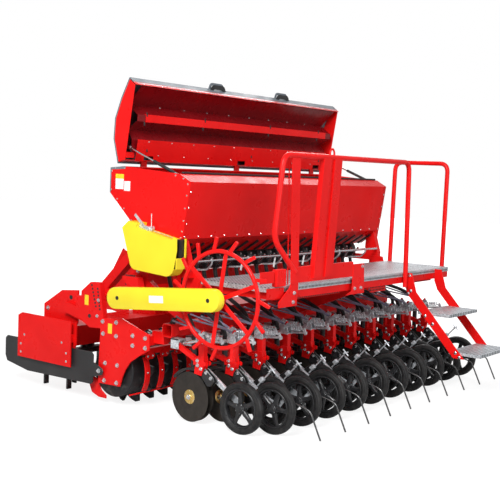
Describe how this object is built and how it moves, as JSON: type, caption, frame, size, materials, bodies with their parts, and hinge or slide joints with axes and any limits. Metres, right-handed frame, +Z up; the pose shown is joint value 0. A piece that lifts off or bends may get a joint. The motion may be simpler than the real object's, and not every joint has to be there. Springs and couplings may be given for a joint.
{
  "type": "mounted seed drill on a power harrow",
  "caption": "Mounted seed drill with an open-lidded hopper, rows of double-disc coulters with press wheels, a loading platform, a toothed packer roller and a power harrow.",
  "frame": {"origin": "on the ground, under the middle of the overall box", "axes": "+Y forward, towards the tractor; +X to the machine's right; +Z up"},
  "size_m": [3.175, 3.11, 2.366],
  "materials": {
    "red_paint": "glossy red paint",
    "yellow_guard": "moulded yellow guard",
    "black_steel": "black paint",
    "tyre_rubber": "black rubber",
    "galvanised": "galvanised",
    "bright_zinc": "bright zinc",
    "dark_plastic": "matt black plastic"
  },
  "bodies": {
    "machine": {"drill_frame": "red_paint", "coulter_gang": "red_paint", "hopper": "red_paint", "metering_units": "dark_plastic", "agitator_bar": "bright_zinc", "gear_cover": "yellow_guard", "roller_frame": "red_paint", "scrapers": "red_paint", "harrow_trough": "red_paint", "levelling_bar": "red_paint", "side_shield_left": "black_steel", "side_shield_right": "black_steel", "headstock": "red_paint", "platform": "galvanised", "platform_bearers": "red_paint", "rear_rail": "red_paint", "end_rail": "red_paint", "ladder_side_left": "red_paint", "ladder_side_right": "red_paint", "step_upper": "galvanised", "step_lower": "galvanised"},
    "press_wheel_rear_01": {"press_wheel_rear_01": "tyre_rubber"},
    "press_wheel_rear_02": {"press_wheel_rear_02": "tyre_rubber"},
    "press_wheel_rear_03": {"press_wheel_rear_03": "tyre_rubber"},
    "press_wheel_rear_04": {"press_wheel_rear_04": "tyre_rubber"},
    "press_wheel_rear_05": {"press_wheel_rear_05": "tyre_rubber"},
    "press_wheel_rear_06": {"press_wheel_rear_06": "tyre_rubber"},
    "press_wheel_rear_07": {"press_wheel_rear_07": "tyre_rubber"},
    "press_wheel_rear_08": {"press_wheel_rear_08": "tyre_rubber"},
    "press_wheel_rear_09": {"press_wheel_rear_09": "tyre_rubber"},
    "press_wheel_rear_10": {"press_wheel_rear_10": "tyre_rubber"},
    "press_wheel_front_01": {"press_wheel_front_01": "tyre_rubber"},
    "press_wheel_front_02": {"press_wheel_front_02": "tyre_rubber"},
    "press_wheel_front_03": {"press_wheel_front_03": "tyre_rubber"},
    "press_wheel_front_04": {"press_wheel_front_04": "tyre_rubber"},
    "press_wheel_front_05": {"press_wheel_front_05": "tyre_rubber"},
    "press_wheel_front_06": {"press_wheel_front_06": "tyre_rubber"},
    "press_wheel_front_07": {"press_wheel_front_07": "tyre_rubber"},
    "press_wheel_front_08": {"press_wheel_front_08": "tyre_rubber"},
    "press_wheel_front_09": {"press_wheel_front_09": "tyre_rubber"},
    "press_wheel_front_10": {"press_wheel_front_10": "tyre_rubber"},
    "packer_roller": {"packer_roller": "black_steel"},
    "rotor_01": {"rotor_01": "black_steel"},
    "rotor_02": {"rotor_02": "black_steel"},
    "rotor_03": {"rotor_03": "black_steel"},
    "rotor_04": {"rotor_04": "black_steel"},
    "rotor_05": {"rotor_05": "black_steel"},
    "rotor_06": {"rotor_06": "black_steel"},
    "rotor_07": {"rotor_07": "black_steel"},
    "rotor_08": {"rotor_08": "black_steel"},
    "rotor_09": {"rotor_09": "black_steel"},
    "rotor_10": {"rotor_10": "black_steel"},
    "chain_case": {"chain_case": "yellow_guard"},
    "land_wheel": {"land_wheel": "red_paint"},
    "lid": {"lid": "red_paint"},
    "strut_barrels": {"strut_barrel_left": "black_steel", "strut_barrel_right": "black_steel"},
    "strut_rods": {"strut_rod_left": "bright_zinc", "strut_rod_right": "bright_zinc"}
  },
  "joints": [
    {"name": "press_wheel_rear_01_spin", "type": "hinge", "parent": "machine", "child": "press_wheel_rear_01", "pos_m": [-1.2425, -0.935, 0.17], "axis": [1, 0, 0], "continuous": true},
    {"name": "press_wheel_rear_02_spin", "type": "hinge", "parent": "machine", "child": "press_wheel_rear_02", "pos_m": [-0.9425, -0.935, 0.17], "axis": [1, 0, 0], "continuous": true},
    {"name": "press_wheel_rear_03_spin", "type": "hinge", "parent": "machine", "child": "press_wheel_rear_03", "pos_m": [-0.6425, -0.935, 0.17], "axis": [1, 0, 0], "continuous": true},
    {"name": "press_wheel_rear_04_spin", "type": "hinge", "parent": "machine", "child": "press_wheel_rear_04", "pos_m": [-0.3425, -0.935, 0.17], "axis": [1, 0, 0], "continuous": true},
    {"name": "press_wheel_rear_05_spin", "type": "hinge", "parent": "machine", "child": "press_wheel_rear_05", "pos_m": [-0.0425, -0.935, 0.17], "axis": [1, 0, 0], "continuous": true},
    {"name": "press_wheel_rear_06_spin", "type": "hinge", "parent": "machine", "child": "press_wheel_rear_06", "pos_m": [0.2575, -0.935, 0.17], "axis": [1, 0, 0], "continuous": true},
    {"name": "press_wheel_rear_07_spin", "type": "hinge", "parent": "machine", "child": "press_wheel_rear_07", "pos_m": [0.5575, -0.935, 0.17], "axis": [1, 0, 0], "continuous": true},
    {"name": "press_wheel_rear_08_spin", "type": "hinge", "parent": "machine", "child": "press_wheel_rear_08", "pos_m": [0.8575, -0.935, 0.17], "axis": [1, 0, 0], "continuous": true},
    {"name": "press_wheel_rear_09_spin", "type": "hinge", "parent": "machine", "child": "press_wheel_rear_09", "pos_m": [1.1575, -0.935, 0.17], "axis": [1, 0, 0], "continuous": true},
    {"name": "press_wheel_rear_10_spin", "type": "hinge", "parent": "machine", "child": "press_wheel_rear_10", "pos_m": [1.4575, -0.935, 0.17], "axis": [1, 0, 0], "continuous": true},
    {"name": "press_wheel_front_01_spin", "type": "hinge", "parent": "machine", "child": "press_wheel_front_01", "pos_m": [-1.3925, -0.791, 0.17], "axis": [1, 0, 0], "continuous": true},
    {"name": "press_wheel_front_02_spin", "type": "hinge", "parent": "machine", "child": "press_wheel_front_02", "pos_m": [-1.0925, -0.791, 0.17], "axis": [1, 0, 0], "continuous": true},
    {"name": "press_wheel_front_03_spin", "type": "hinge", "parent": "machine", "child": "press_wheel_front_03", "pos_m": [-0.7925, -0.791, 0.17], "axis": [1, 0, 0], "continuous": true},
    {"name": "press_wheel_front_04_spin", "type": "hinge", "parent": "machine", "child": "press_wheel_front_04", "pos_m": [-0.4925, -0.791, 0.17], "axis": [1, 0, 0], "continuous": true},
    {"name": "press_wheel_front_05_spin", "type": "hinge", "parent": "machine", "child": "press_wheel_front_05", "pos_m": [-0.1925, -0.791, 0.17], "axis": [1, 0, 0], "continuous": true},
    {"name": "press_wheel_front_06_spin", "type": "hinge", "parent": "machine", "child": "press_wheel_front_06", "pos_m": [0.1075, -0.791, 0.17], "axis": [1, 0, 0], "continuous": true},
    {"name": "press_wheel_front_07_spin", "type": "hinge", "parent": "machine", "child": "press_wheel_front_07", "pos_m": [0.4075, -0.791, 0.17], "axis": [1, 0, 0], "continuous": true},
    {"name": "press_wheel_front_08_spin", "type": "hinge", "parent": "machine", "child": "press_wheel_front_08", "pos_m": [0.7075, -0.791, 0.17], "axis": [1, 0, 0], "continuous": true},
    {"name": "press_wheel_front_09_spin", "type": "hinge", "parent": "machine", "child": "press_wheel_front_09", "pos_m": [1.0075, -0.791, 0.17], "axis": [1, 0, 0], "continuous": true},
    {"name": "press_wheel_front_10_spin", "type": "hinge", "parent": "machine", "child": "press_wheel_front_10", "pos_m": [1.3075, -0.791, 0.17], "axis": [1, 0, 0], "continuous": true},
    {"name": "packer_roller_spin", "type": "hinge", "parent": "machine", "child": "packer_roller", "pos_m": [0.0325, 0.325, 0.25], "axis": [1, 0, 0], "continuous": true},
    {"name": "rotor_01_spin", "type": "hinge", "parent": "machine", "child": "rotor_01", "pos_m": [-1.3175, 1.045, 0.245], "axis": [0, 0, 1], "continuous": true},
    {"name": "rotor_02_spin", "type": "hinge", "parent": "machine", "child": "rotor_02", "pos_m": [-1.0175, 1.045, 0.245], "axis": [0, 0, 1], "continuous": true},
    {"name": "rotor_03_spin", "type": "hinge", "parent": "machine", "child": "rotor_03", "pos_m": [-0.7175, 1.045, 0.245], "axis": [0, 0, 1], "continuous": true},
    {"name": "rotor_04_spin", "type": "hinge", "parent": "machine", "child": "rotor_04", "pos_m": [-0.4175, 1.045, 0.245], "axis": [0, 0, 1], "continuous": true},
    {"name": "rotor_05_spin", "type": "hinge", "parent": "machine", "child": "rotor_05", "pos_m": [-0.1175, 1.045, 0.245], "axis": [0, 0, 1], "continuous": true},
    {"name": "rotor_06_spin", "type": "hinge", "parent": "machine", "child": "rotor_06", "pos_m": [0.1825, 1.045, 0.245], "axis": [0, 0, 1], "continuous": true},
    {"name": "rotor_07_spin", "type": "hinge", "parent": "machine", "child": "rotor_07", "pos_m": [0.4825, 1.045, 0.245], "axis": [0, 0, 1], "continuous": true},
    {"name": "rotor_08_spin", "type": "hinge", "parent": "machine", "child": "rotor_08", "pos_m": [0.7825, 1.045, 0.245], "axis": [0, 0, 1], "continuous": true},
    {"name": "rotor_09_spin", "type": "hinge", "parent": "machine", "child": "rotor_09", "pos_m": [1.0825, 1.045, 0.245], "axis": [0, 0, 1], "continuous": true},
    {"name": "rotor_10_spin", "type": "hinge", "parent": "machine", "child": "rotor_10", "pos_m": [1.3825, 1.045, 0.245], "axis": [0, 0, 1], "continuous": true},
    {"name": "chain_case_swing", "type": "hinge", "parent": "machine", "child": "chain_case", "pos_m": [-1.5565, 0.192, 0.79], "axis": [1, 0, 0], "range_deg": [0, 32.5]},
    {"name": "land_wheel_spin", "type": "hinge", "parent": "chain_case", "child": "land_wheel", "pos_m": [-1.4875, -0.65065, 0.86521], "axis": [1, 0, 0], "continuous": true},
    {"name": "lid_hinge", "type": "hinge", "parent": "machine", "child": "lid", "pos_m": [0.0325, 0.45, 1.746], "axis": [1, 0, 0], "range_deg": [0, 85.5]},
    {"name": "strut_swing", "type": "hinge", "parent": "machine", "child": "strut_barrels", "pos_m": [0.0325, -0.066, 1.64], "axis": [1, 0, 0], "range_deg": [-10.4, 1]},
    {"name": "strut_stroke", "type": "slide", "parent": "strut_barrels", "child": "strut_rods", "axis": [0, 0.9336, 0.3584], "range_m": [-0.0825, 0.002]}
  ],
  "couplings": [
    {"joint": "rotor_02_spin", "follows": "rotor_01_spin", "ratio": -1},
    {"joint": "rotor_03_spin", "follows": "rotor_01_spin", "ratio": 1},
    {"joint": "rotor_04_spin", "follows": "rotor_01_spin", "ratio": -1},
    {"joint": "rotor_05_spin", "follows": "rotor_01_spin", "ratio": 1},
    {"joint": "rotor_06_spin", "follows": "rotor_01_spin", "ratio": -1},
    {"joint": "rotor_07_spin", "follows": "rotor_01_spin", "ratio": 1},
    {"joint": "rotor_08_spin", "follows": "rotor_01_spin", "ratio": -1},
    {"joint": "rotor_09_spin", "follows": "rotor_01_spin", "ratio": 1},
    {"joint": "rotor_10_spin", "follows": "rotor_01_spin", "ratio": -1},
    {"joint": "strut_swing", "follows": "lid_hinge", "ratio": -0.118},
    {"joint": "strut_stroke", "follows": "lid_hinge", "m_per_rad": -0.05413}
  ]
}
